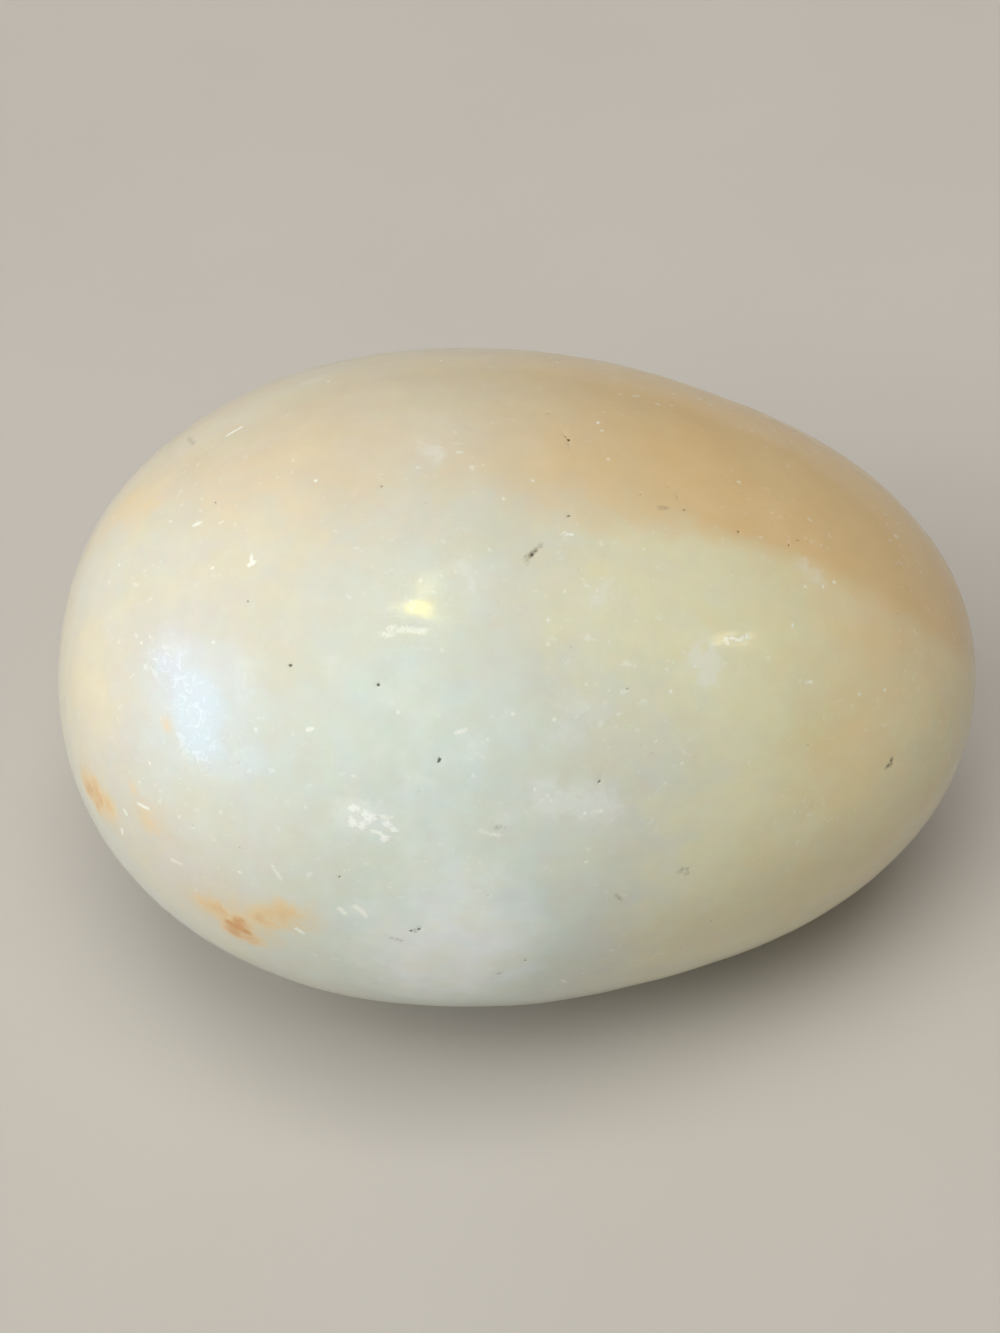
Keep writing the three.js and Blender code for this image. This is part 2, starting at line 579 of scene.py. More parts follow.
HIDDEN = (
    HiddenMarks(MarkKind.PORE, 46, (0.5 * MM, 0.9 * MM), (0, 0.3 * MM), (0.35, 1.0)),
    HiddenMarks(MarkKind.SMUDGE, 7, (0.7 * MM, 1.2 * MM), (0.5 * MM, 2.5 * MM), (0.4, 0.9)),
    HiddenMarks(MarkKind.NICK_AND_GLINT, 60, (0.6 * MM, 0.9 * MM), (0, 2.4 * MM), (0.4, 1.0)),
    HiddenMarks(MarkKind.CRUST, 9, (0.9 * MM, 1.5 * MM), (0.2 * MM, 2.0 * MM), (0.6, 0.9)),
    HiddenMarks(MarkKind.BLOOM, 13, (4 * MM, 9 * MM), (0.5 * MM, 6 * MM), (0.5, 1.0)),
    HiddenMarks(MarkKind.RUST, 5, (7 * MM, 11 * MM), (1.5 * MM, 6 * MM), (0.45, 0.70)),
    HiddenMarks(MarkKind.RUST, 6, (11 * MM, 18 * MM), (3 * MM, 14 * MM), (0.25, 0.38)),
    HiddenMarks(MarkKind.SCUFF_AND_HIGHLIGHT, 5, (8 * MM, 18 * MM), (4 * MM, 16 * MM), (0.25, 0.5)),
)


@dataclass(frozen=True)
class TanStainAndWarmLight:
    """The broad tan zone over the top and back of the egg, deepest and sharpest at the pointed end.

    Behind, its edge drifts in a few slow waves, each given as its height in radians, how many there are along
    the egg, and where it starts. Its depth is kept within the given range. It is partly real staining and
    partly painted warm light and reflection over the top.
    """

    attribute: str = "tan"
    front_edge: tuple[Sighting, ...] = (
        (95, 560), (127, 528), (227, 516), (350, 506), (473, 508), (600, 518), (680, 528), (740, 549),
        (800, 563), (860, 597), (915, 625), (962, 660),
    )
    back_edge: float = math.radians(156)
    back_waves: tuple[tuple[float, float, float], ...] = (
        (math.radians(9), 0.9, 0.6), (math.radians(4), 2.3, 2.0), (math.radians(1.5), 5.7, 4.4),
    )
    back_fade: float = 9 * MM
    blunt_fade: float = 11 * MM
    pointed_fade: float = 4 * MM
    narrows_from: float = -20 * MM
    narrows_to: float = 32 * MM
    depth_range: tuple[float, float] = (-4, 8)

    def depth_inside(self, own: Array, surveyor: Surveyor) -> Array:
        """Measures how far points are inside the tan zone, in units of the width over which it fades out.

        Args:
            own: Points of the shell about its own axis.
            surveyor: What places the sightings.

        Returns:
            The depth, negative outside the tan zone.
        """
        edge = surveyor.pose.to_own(np.array([surveyor.place(seen) for seen in self.front_edge]))
        front = np.interp(own[:, 0], edge[:, 0], self.round_angle(edge))
        turns = own[:, 0] / surveyor.form.length * math.tau
        waves = (high * np.sin(count * turns + start) for high, count, start in self.back_waves)
        back = self.back_edge + sum(waves)
        radius = np.linalg.norm(own[:, 1:], axis=1)
        around = self.round_angle(own)
        narrow = soft_step(own[:, 0], self.narrows_from, self.narrows_to)
        fade = self.blunt_fade + (self.pointed_fade - self.blunt_fade) * narrow
        inside = np.minimum((around - front) / fade, (back - around) / self.back_fade)
        return np.clip(inside * radius, *self.depth_range)

    @staticmethod
    def round_angle(own: Array) -> Array:
        """Returns each point's angle round the egg's own axis, from 0 in front over the top to pi behind."""
        angle = np.arctan2(own[:, 2], -own[:, 1])
        return np.where(angle < -math.pi / 2, angle + math.tau, angle)


@dataclass(frozen=True)
class ToneZone:
    """A broad soft zone where the ivory is warmer or cooler than along the rest of the egg, or blushes."""

    seen_at: Sighting
    reach: float
    warmth: float = 0.0
    blush: float = 0.0


@dataclass(frozen=True)
class IvoryAndLightTones:
    """How the ivory turns from cool at the blunt end to straw at the pointed one, with soft zones over it.

    Part of this is painted light: a cool cast on the blunt end's side and a warm cast on the pointed end.
    """

    warmth_attribute: str = "warmth"
    blush_attribute: str = "blush"
    blunt_warmth: float = 0.42
    pointed_warmth: float = 0.94
    turns_from: float = -14 * MM
    turns_to: float = 72 * MM
    zones: tuple[ToneZone, ...] = (
        ToneZone((430, 770), 17 * MM, -0.17),
        # Painted light: paler and cooler along the lower edge, where bounce light brightens it.
        ToneZone((450, 965), 15 * MM, -0.42),
        ToneZone((600, 850), 10 * MM, -0.03),
        # Painted reflection: the cool, pinkish halo round the window reflection.
        ToneZone((185, 702), 11 * MM, -0.13, 0.2),
        ToneZone((590, 600), 10 * MM, 0.10),
        ToneZone((660, 690), 9 * MM, -0.02),
        ToneZone((740, 775), 8 * MM, -0.09),
        ToneZone((820, 760), 8 * MM, 0.10),
        # Partly painted reflection: the pink rim at the blunt end's left edge, a warm surround mirrored at a
        # grazing angle.
        ToneZone((85, 700), 12 * MM, 0.15, 0.8),
        ToneZone((200, 585), 12 * MM, 0.08, 0.3),
        ToneZone((190, 880), 10 * MM, 0.06, 0.8),
        ToneZone((290, 480), 14 * MM, 0.0, 0.5),
        ToneZone((880, 610), 9 * MM, 0.06, 0.5),
        # Partly painted shade: warmer at the lower right, where the underside lies in shade.
        ToneZone((690, 945), 8 * MM, 0.10, 0.3),
    )

    def fields(self, points: Array, surveyor: Surveyor) -> dict[str, Array]:
        """Works out the tones.

        Args:
            points: The shell's points in the CAD frame.
            surveyor: What places the zones.

        Returns:
            The warmth and the blush of each point, by attribute name.
        """
        turn = soft_step(points[:, 0], self.turns_from, self.turns_to)
        warmth = self.blunt_warmth + (self.pointed_warmth - self.blunt_warmth) * turn
        blush = np.zeros(len(points))
        for zone in self.zones:
            near = nearness(points, surveyor.place(zone.seen_at), zone.reach)
            warmth += zone.warmth * near
            blush += zone.blush * near
        return {self.warmth_attribute: warmth, self.blush_attribute: blush}


@dataclass(frozen=True)
class Swelling:
    """A place where the shell stands a little out of the smooth outline, or falls short of it."""

    seen_at: Sighting
    height: float
    reach: float = 16 * MM


SWELLINGS = (
    Swelling((122, 530), 0.48 * MM),
    Swelling((232, 420), -0.62 * MM),
    Swelling((560, 356), 0.20 * MM),
    Swelling((640, 376), -0.16 * MM),
    Swelling((748, 412), -0.30 * MM),
    Swelling((895, 505), 0.40 * MM),
    Swelling((968, 680), -0.16 * MM),
    Swelling((905, 840), -0.02 * MM),
    Swelling((800, 910), -0.24 * MM),
    Swelling((690, 958), -0.26 * MM),
    Swelling((516, 1000), 0.16 * MM),
    Swelling((62, 690), -0.24 * MM),
)


@dataclass(frozen=True)
class ShellUnevenness:
    """The slight waves of the whole shell, as a sum of plane waves of many lengths."""

    seed: int = 4
    waves: int = 40
    longest: float = 60 * MM
    shortest: float = 5 * MM
    height: float = 0.05 * MM

    def heights(self, points: Array) -> Array:
        """Works out how far the waves lift the shell.

        Args:
            points: Points of the shell.

        Returns:
            Metres outward at each point.
        """
        draw = np.random.default_rng(self.seed)
        lifted = np.zeros(len(points))
        for share in np.linspace(0, 1, self.waves):
            wavelength = self.longest * (self.shortest / self.longest) ** share
            way = unit(draw.normal(size=3))
            phase = draw.uniform(0, math.tau)
            lifted += wavelength * np.sin(points @ way / wavelength * math.tau + phase)
        return lifted * self.height / self.longest


class CubeBall:
    """A ball of quads: a cube's six faces, blown up, with shared edges and a map island for each face."""

    FACES_IN_MAP = (3, 2)
    MAP_GAP = 0.006

    def __init__(self, along: int, around: int) -> None:
        """Lays out the quads.

        Args:
            along: Quads along each cube edge that runs with X.
            around: Quads along each other cube edge.
        """
        counts = np.array([along, around, around])
        corners, maps = [], []
        for face in range(6):
            axis, far = divmod(face, 2)
            across, up = [a for a in range(3) if a != axis]
            grid = self.quad_corners(counts[across], counts[up])
            places = np.zeros((*grid.shape[:2], 3), dtype=int)
            places[..., axis] = far * counts[axis]
            places[..., across] = grid[..., 0]
            places[..., up] = grid[..., 1]
            uv = self.in_map(face, grid / np.array([counts[across], counts[up]]))
            inward = (far == 0) != (axis == 1)
            corners.append(places[:, ::-1] if inward else places)
            maps.append(uv[:, ::-1] if inward else uv)
        every = np.concatenate(corners)
        lattice, shared = np.unique(every.reshape(-1, 3), axis=0, return_inverse=True)
        self.quads = shared.reshape(-1, 4)
        self.corner_map = np.concatenate(maps).reshape(-1, 2)
        eighth = math.pi / 4
        cube = np.tan((2 * lattice / counts - 1) * eighth)
        turned = np.array(Matrix.Rotation(eighth, 3, "X"))
        self.directions = unit(cube) @ turned.T

    @staticmethod
    def quad_corners(wide: int, high: int) -> Array:
        """Lays out a grid of quads.

        Args:
            wide: How many there are across.
            high: How many there are up.

        Returns:
            The four corners of each, as whole steps across and up.
        """
        across, up = np.meshgrid(np.arange(wide), np.arange(high), indexing="ij")
        first = np.stack([across.ravel(), up.ravel()], axis=-1)[:, None, :]
        return first + np.array([[0, 0], [1, 0], [1, 1], [0, 1]])

    def in_map(self, face: int, places: Array) -> Array:
        """Puts one cube face on its island.

        Args:
            face: The face's number.
            places: Places on it, from 0 to 1 each way.

        Returns:
            The same places in the whole map.
        """
        cell = 1 / np.array(self.FACES_IN_MAP)
        corner = np.array([face % self.FACES_IN_MAP[0], face // self.FACES_IN_MAP[0]]) * cell
        return corner + self.MAP_GAP + places * (cell - 2 * self.MAP_GAP)


@dataclass(frozen=True)
class Pattern:
    """A noise: the size of its features, how far they are stretched along X, Y and Z, and its finer layers.

    Its value lies about the middle, mostly within half the height each way.
    """

    size: float
    detail: float = 2.0
    roughness: float = 0.5
    stretch: Triple = (1, 1, 1)
    warp: float = 0.0
    height: float = 1.0
    middle: float = 0.5


class NodeBench:
    """Makes one material and lays its shader nodes."""

    def __init__(self, name: str) -> None:
        """Makes the material with an empty tree.

        Args:
            name: The material's name.
        """
        self.material = bpy.data.materials.new(name)
        self.material.use_nodes = True
        self.tree = self.material.node_tree
        self.tree.nodes.clear()
        self.place = self.add("ShaderNodeTexCoord", {}).outputs["Object"]

    def add(self, kind: str, inputs: dict[str | int, object], **settings: object) -> bpy.types.Node:
        """Adds a node.

        Args:
            kind: Blender's name for the kind of node.
            inputs: A value or another node's socket for each input, by name or number.
            **settings: The node's own settings.

        Returns:
            The node.
        """
        node = self.tree.nodes.new(kind)
        for name, value in settings.items():
            setattr(node, name, value)
        for key, value in inputs.items():
            if isinstance(value, Socket):
                self.tree.links.new(value, node.inputs[key])
            else:
                node.inputs[key].default_value = value
        return node

    def finished(self, inputs: dict[str | int, object]) -> bpy.types.Material:
        """Ends the material with its surface shader.

        Args:
            inputs: A value or another node's socket for each of the shader's inputs.

        Returns:
            The material.
        """
        surface = self.add("ShaderNodeBsdfPrincipled", inputs)
        self.add("ShaderNodeOutputMaterial", {"Surface": surface.outputs[0]})
        return self.material

    def field(self, name: str) -> Socket:
        """Returns the value of a mesh attribute."""
        return self.add("ShaderNodeAttribute", {}, attribute_name=name).outputs["Fac"]

    def maths(self, operation: str, *values: object) -> Socket:
        """Returns the result of one sum on values or sockets."""
        return self.add("ShaderNodeMath", dict(enumerate(values)), operation=operation).outputs[0]

    def noise(self, pattern: Pattern) -> Socket:
        """Lays a noise.

        Args:
            pattern: Its size, its layers and its range.

        Returns:
            The noise's value.
        """
        shrink = tuple(1 / s for s in pattern.stretch)
        noise = self.add("ShaderNodeTexNoise", {
            "Vector": self.add("ShaderNodeMapping", {"Vector": self.place, "Scale": shrink}).outputs[0],
            "Scale": 1 / pattern.size,
            "Detail": pattern.detail,
            "Roughness": pattern.roughness,
            "Distortion": pattern.warp,
        })
        base = pattern.middle - pattern.height / 2
        return self.maths("MULTIPLY_ADD", noise.outputs[0], pattern.height, base)

    def ramp(self, value: Socket, low: float, high: float, top: float = 1.0) -> Socket:
        """Returns a smooth rise from 0, where the value is low, to top, where it is high."""
        inputs = {"Value": value, "From Min": low, "From Max": high, "To Min": 0.0, "To Max": top}
        return self.add("ShaderNodeMapRange", inputs, interpolation_type="SMOOTHSTEP").outputs[0]

    def blend(self, share: object, under: object, over: object, way: str = "MIX") -> Socket:
        """Returns the colour of this share of one colour laid over another, mixed in this way."""
        inputs = {"Factor": share, 6: under, 7: over}
        return self.add("ShaderNodeMix", inputs, data_type="RGBA", blend_type=way).outputs[2]

    def bump(self, height: Socket, unit_height: float, strength: float = 1.0) -> Socket:
        """Returns the normal of a fine relief, whose height is given in units of so many metres."""
        inputs = {"Height": height, "Strength": strength, "Distance": unit_height}
        return self.add("ShaderNodeBump", inputs).outputs[0]


@dataclass(frozen=True)
class Edge:
    """How a kind of mark ends: how hard a noise pulls at its field, and where its mask rises."""

    kind: MarkKind
    pull: float
    low: float
    high: float


@dataclass(frozen=True)
class ShellFinish:
    """The glossy ivory shell with its stains, pores, nicks, chalky crusts and hairline scratches.

    A rise is where a smooth ramp starts and ends, with its height if that isn't 1. A strength is how much of
    a layer shows where its mask is full. The reliefs of marks are in relief units. Part of the colour is
    painted light: warm and cool casts, bounce light and reflection in the tones and the tan, and painted
    highlights and reflections among the pale patches, chip marks and scratch lines.
    """

    name: str = "eggshell"
    # From cool to straw; part of the turn is painted light, cool on the blunt end's side and warm on the
    # pointed end.
    ivory_and_light_tints: tuple[tuple[float, Colour], ...] = (
        (0.00, (238, 246, 247)),
        (0.24, (214, 226, 220)),
        (0.44, (213, 217, 206)),
        (0.65, (226, 226, 196)),
        (0.85, (226, 219, 181)),
        (1.00, (229, 212, 170)),
    )
    warmth_drifts: tuple[Pattern, ...] = (
        Pattern(26 * MM, 3, height=0.30, middle=0.0),
        Pattern(5 * MM, height=0.20, middle=0.0),
    )
    greenish: Triple = (0.99, 1.006, 0.98)
    pinkish: Triple = (1.03, 0.955, 0.94)
    blush: Pattern = Pattern(3.2 * MM, 3, 0.6, height=1.4, middle=0.2)
    bluish: Triple = (0.99, 1.0, 1.04)
    yellowish: Triple = (1.01, 1.0, 0.955)
    yellowing: Pattern = Pattern(7 * MM, warp=0.5)
    yellowing_rise: Rise = (0.25, 0.75)
    tan: Colour = (223, 194, 145)
    tan_blunt: float = 0.40
    tan_pointed: float = 0.96
    tan_edge: Pattern = Pattern(9 * MM, 4, 0.6, height=2.2, middle=0.0)
    tan_clouds: Pattern = Pattern(13 * MM, 4, 0.6, height=0.5, middle=1.0)
    tan_rise: Rise = (-0.7, 0.9)
    tan_skirt: float = 0.16
    skirt_rise: Rise = (-3.8, 0.0)
    clouds: Pattern = Pattern(4.5 * MM, 4, 0.65)
    cloud_rise: Rise = (0.3, 0.7)
    cloud_shade: Triple = (0.72, 0.72, 0.72)
    cloud_strength: float = 0.13
    flecks: Pattern = Pattern(1.4 * MM, stretch=(1.3, 1, 1))
    fleck_rise: Rise = (0.62, 0.76)
    fleck_zones: Pattern = Pattern(15 * MM, 3)
    fleck_zone_rise: Rise = (0.40, 0.64, 0.38)
    ragged: Pattern = Pattern(0.45 * MM, 3, middle=0.0)
    torn: Pattern = Pattern(2.4 * MM, 3, 0.55, warp=0.6, middle=0.0)
    edges: tuple[Edge, ...] = (
        Edge(MarkKind.PORE, 0.6, 0.15, 0.75),
        Edge(MarkKind.NICK_AND_GLINT, 1.4, 0.05, 0.95),
        Edge(MarkKind.CRUST, 2.2, 0.05, 0.8),
        Edge(MarkKind.SMUDGE, 1.2, 0.0, 1.0),
        Edge(MarkKind.RUST, 0.9, 0.03, 1.0),
        Edge(MarkKind.BLOOM, 3.2, 0.03, 1.0),
        Edge(MarkKind.SCUFF_AND_HIGHLIGHT, 2.0, 0.03, 1.0),
    )
    # White for crusts and flecks, and for the pale scratch lines that partly paint highlights.
    chalk_and_highlight: Colour = (243, 249, 246)
    scratch_and_highlight_strength: float = 0.42
    crust_strength: float = 0.9
    # Pale patch colour, also used for painted sheen and highlight.
    bloom_and_sheen: Colour = (232, 238, 236)
    bloom_and_sheen_strength: float = 0.45
    amber: Colour = (232, 206, 154)
    amber_rise: Rise = (0.0, 0.5, 0.8)
    rust: Colour = (208, 148, 82)
    rust_rise: Rise = (0.30, 1.15, 0.9)
    smudge: Colour = (126, 120, 100)
    smudge_strength: float = 0.6
    # Pale colour of chip marks, also used for the painted reflection streak and glint.
    nick_and_glint: Colour = (242, 247, 238)
    nick_and_glint_strength: float = 0.85
    pore: Colour = (62, 58, 46)
    pore_strength: float = 0.85
    hairlines: tuple[Pattern, ...] = (
        Pattern(2.2 * MM, 1, 0.4, (2.6, 1, 1), middle=0.0),
        Pattern(2.0 * MM, 1, 0.4, (1, 1, 2.6), middle=0.0),
        Pattern(2.4 * MM, 1, 0.4, (1, 2, 1.5), middle=0.0),
    )
    hairline_rise: Rise = (0.035, 0.0)
    breaks: Pattern = Pattern(1.3 * MM, 1)
    break_rise: Rise = (0.42, 0.58)
    roughness: Pattern = Pattern(9 * MM, 4, height=0.16, middle=0.36)
    mark_dulling: float = 0.35
    rust_dulling: float = 0.5
    ripple: Pattern = Pattern(1.6 * MM, 3, 0.55, height=0.3, middle=0.15)
    mark_reliefs: tuple[tuple[MarkKind, float], ...] = (
        (MarkKind.PORE, -2.0),
        (MarkKind.NICK_AND_GLINT, -0.6),
        (MarkKind.CRUST, 1.2),
    )
    relief_unit: float = 0.02 * MM
    ior: float = 1.5
    specular_level: float = 0.25
    coat: float = 0.6
    coat_roughness: float = 0.12
    coat_waves: Pattern = Pattern(2.4 * MM, 3)
    coat_wave_height: float = 0.022 * MM
    under_glow: float = 0.12
    glow_radius: Triple = (1.0, 0.75, 0.5)
    glow_depth: float = 1.5 * MM

    def make(self, stain_and_warm_light: TanStainAndWarmLight, tones: IvoryAndLightTones) -> bpy.types.Material:
        """Makes the material.

        Args:
            stain_and_warm_light: The tan zone, partly real staining and partly painted warm light.
            tones: The tones of the ivory.

        Returns:
            The material.
        """
        bench = NodeBench(self.name)
        masks = self.masks(bench)
        colour = self.ivory(bench, tones)
        colour = self.tan_and_warm_light(bench, colour, stain_and_warm_light)
        colour = self.mottled(bench, colour)
        colour = self.marked(bench, colour, masks)
        return bench.finished({
            "Base Color": colour,
            "Roughness": self.gloss(bench, masks),
            "Normal": self.relief(bench, masks),
            "IOR": self.ior,
            "Specular IOR Level": self.specular_level,
            "Coat Weight": self.coat,
            "Coat Normal": bench.bump(bench.noise(self.coat_waves), self.coat_wave_height),
            "Coat Roughness": self.coat_roughness,
            "Subsurface Weight": self.under_glow,
            "Subsurface Radius": self.glow_radius,
            "Subsurface Scale": self.glow_depth,
        })

    def masks(self, bench: NodeBench) -> dict[MarkKind, Socket]:
        """Turns the mesh's mark fields into masks with ragged edges, or torn ones where the mark is soft.

        Args:
            bench: Where the nodes are laid.

        Returns:
            A mask from 0 to 1 for each kind of mark.
        """
        ragged, torn = bench.noise(self.ragged), bench.noise(self.torn)
        masks = {}
        for edge in self.edges:
            field = bench.field(edge.kind.value)
            if edge.kind.soft:
                pulled = bench.maths("MULTIPLY", field, bench.maths("MULTIPLY_ADD", torn, edge.pull, 1.0))
            else:
                pulled = bench.maths("MULTIPLY_ADD", ragged, edge.pull, field)
            masks[edge.kind] = bench.ramp(pulled, edge.low, edge.high)
        return masks

    def ivory(self, bench: NodeBench, tones: IvoryAndLightTones) -> Socket:
        """Lays the ivory ground in its tones, partly a painted cool and warm light.

        Args:
            bench: Where the nodes are laid.
            tones: The names of the tones' attributes.

        Returns:
            The colour.
        """
        warmth = bench.field(tones.warmth_attribute)
        for drift in self.warmth_drifts:
            warmth = bench.maths("ADD", warmth, bench.noise(drift))
        ramp = bench.add("ShaderNodeValToRGB", {0: warmth})
        stops = ramp.color_ramp.elements
        for place, _ in self.ivory_and_light_tints[1:-1]:
            stops.new(place)
        for stop, (place, tone) in zip(stops, self.ivory_and_light_tints):
            stop.position = place
            stop.color = linear(tone)
        blush = bench.maths("ADD", bench.noise(self.blush), bench.field(tones.blush_attribute))
        blushed = bench.blend(blush, (*self.greenish, 1), (*self.pinkish, 1))
        yellow = bench.ramp(bench.noise(self.yellowing), *self.yellowing_rise)
        yellowed = bench.blend(yellow, (*self.bluish, 1), (*self.yellowish, 1))
        colour = bench.blend(1.0, ramp.outputs[0], blushed, "MULTIPLY")
        return bench.blend(1.0, colour, yellowed, "MULTIPLY")

    def tan_and_warm_light(self, bench: NodeBench, colour: Socket, stain_and_warm_light: TanStainAndWarmLight) -> Socket:
        """Lays the tan over the ivory: partly real staining, partly painted warm light and reflection.

        Args:
            bench: Where the nodes are laid.
            colour: The colour so far.
            stain_and_warm_light: The tan zone, partly painted warm light.

        Returns:
            The colour.
        """
        # Partly painted light: the tan is part staining, part a painted warm cast and reflection over the
        # top.
        depth = bench.maths("ADD", bench.field(stain_and_warm_light.attribute), bench.noise(self.tan_edge))
        along = bench.add("ShaderNodeSeparateXYZ", {0: bench.place}).outputs[0]
        deepens = bench.ramp(along, stain_and_warm_light.narrows_from, stain_and_warm_light.narrows_to, self.tan_pointed - self.tan_blunt)
        strength = bench.maths("ADD", deepens, self.tan_blunt)
        strength = bench.maths("MULTIPLY", strength, bench.noise(self.tan_clouds))
        strength = bench.maths("MINIMUM", strength, 1.0)
        skirt = bench.ramp(depth, *self.skirt_rise, self.tan_skirt)
        share = bench.maths("ADD", bench.ramp(depth, *self.tan_rise, 1 - self.tan_skirt), skirt)
        return bench.blend(bench.maths("MULTIPLY", share, strength), colour, linear(self.tan))

    def mottled(self, bench: NodeBench, colour: Socket) -> Socket:
        """Lays faint clouds and pale flecks over the shell.

        Args:
            bench: Where the nodes are laid.
            colour: The colour so far.

        Returns:
            The colour.
        """
        clouds = bench.ramp(bench.noise(self.clouds), *self.cloud_rise)
        shade = bench.blend(clouds, (*self.cloud_shade, 1), (1, 1, 1, 1))
        colour = bench.blend(self.cloud_strength, colour, shade, "MULTIPLY")
        flecks = bench.ramp(bench.noise(self.flecks), *self.fleck_rise)
        zones = bench.ramp(bench.noise(self.fleck_zones), *self.fleck_zone_rise)
        return bench.blend(bench.maths("MULTIPLY", flecks, zones), colour, linear(self.chalk_and_highlight))

    def marked(self, bench: NodeBench, colour: Socket, masks: dict[MarkKind, Socket]) -> Socket:
        """Lays the single marks over the shell.

        Args:
            bench: Where the nodes are laid.
            colour: The colour so far.
            masks: Where each kind of mark shows.

        Returns:
            The colour.
        """
        # Painted highlight in part: pale scratch lines in the scuff mask, which in view lie inside the window
        # and lamp reflections.
        scratches_and_highlights = bench.maths("MULTIPLY", self.scratches_and_highlights(bench), masks[MarkKind.SCUFF_AND_HIGHLIGHT])
        layers = (
            (bench.maths("MULTIPLY", scratches_and_highlights, self.scratch_and_highlight_strength), self.chalk_and_highlight),
            # Pale patches, a few of them painted sheen and highlight.
            (bench.maths("MULTIPLY", masks[MarkKind.BLOOM], self.bloom_and_sheen_strength), self.bloom_and_sheen),
            (bench.ramp(masks[MarkKind.RUST], *self.amber_rise), self.amber),
            (bench.ramp(masks[MarkKind.RUST], *self.rust_rise), self.rust),
            (bench.maths("MULTIPLY", masks[MarkKind.SMUDGE], self.smudge_strength), self.smudge),
            (bench.maths("MULTIPLY", masks[MarkKind.CRUST], self.crust_strength), self.chalk_and_highlight),
            # Pale chip marks, with a painted reflection streak and glint among them.
            (bench.maths("MULTIPLY", masks[MarkKind.NICK_AND_GLINT], self.nick_and_glint_strength), self.nick_and_glint),
            (bench.maths("MULTIPLY", masks[MarkKind.PORE], self.pore_strength), self.pore),
        )
        for share, tone in layers:
            colour = bench.blend(share, colour, linear(tone))
        return colour

    def gloss(self, bench: NodeBench, masks: dict[MarkKind, Socket]) -> Socket:
        """Works out the roughness: waxy all over, dull in marks.

        Args:
            bench: Where the nodes are laid.
            masks: Where each kind of mark shows.

        Returns:
            The roughness.
        """
        dull = bench.maths("MAXIMUM", masks[MarkKind.PORE], masks[MarkKind.CRUST])
        rusty = bench.maths("MULTIPLY", masks[MarkKind.RUST], self.rust_dulling)
        dull = bench.maths("MAXIMUM", dull, rusty)
        return bench.maths("MULTIPLY_ADD", dull, self.mark_dulling, bench.noise(self.roughness))

    def relief(self, bench: NodeBench, masks: dict[MarkKind, Socket]) -> Socket:
        """Works out the fine relief: wax ripple, grain in the crusts and pits in the pores and nicks.

        Args:
            bench: Where the nodes are laid.
            masks: Where each kind of mark shows.

        Returns:
            The normal.
        """
        height = bench.noise(self.ripple)
        for kind, rise in self.mark_reliefs:
            height = bench.maths("MULTIPLY_ADD", masks[kind], rise, height)
        return bench.bump(height, self.relief_unit)

    def scratches_and_highlights(self, bench: NodeBench) -> Socket:
        """Draws short hairline scratch lines that handling has left: broken level lines of a few noises,
        partly a painted highlight.

        Args:
            bench: Where the nodes are laid.

        Returns:
            A mask from 0 to 1.
        """
        lines = 0.0
        for pattern in self.hairlines:
            away = bench.maths("ABSOLUTE", bench.noise(pattern))
            lines = bench.maths("MAXIMUM", lines, bench.ramp(away, *self.hairline_rise))
        return bench.maths("MULTIPLY", lines, bench.ramp(bench.noise(self.breaks), *self.break_rise))


@dataclass(frozen=True)
class FloorFinish:
    """A pale, matt studio floor with a faint unevenness of tone."""

    name: str = "studio_floor"
    light: Colour = (194, 191, 186)
    dark: Colour = (188, 184, 178)
    tones: Pattern = Pattern(90 * MM, 3)
    grain: Pattern = Pattern(2 * MM, 3)
    grain_height: float = 0.1 * MM
    grain_strength: float = 0.15
    roughness: float = 0.8
    specular_level: float = 0.0

    def make(self) -> bpy.types.Material:
        """Makes the material.

        Returns:
            The material.
        """
        bench = NodeBench(self.name)
        return bench.finished({
            "Base Color": bench.blend(bench.noise(self.tones), linear(self.light), linear(self.dark)),
            "Roughness": self.roughness,
            "Specular IOR Level": self.specular_level,
            "Normal": bench.bump(bench.noise(self.grain), self.grain_height, self.grain_strength),
        })


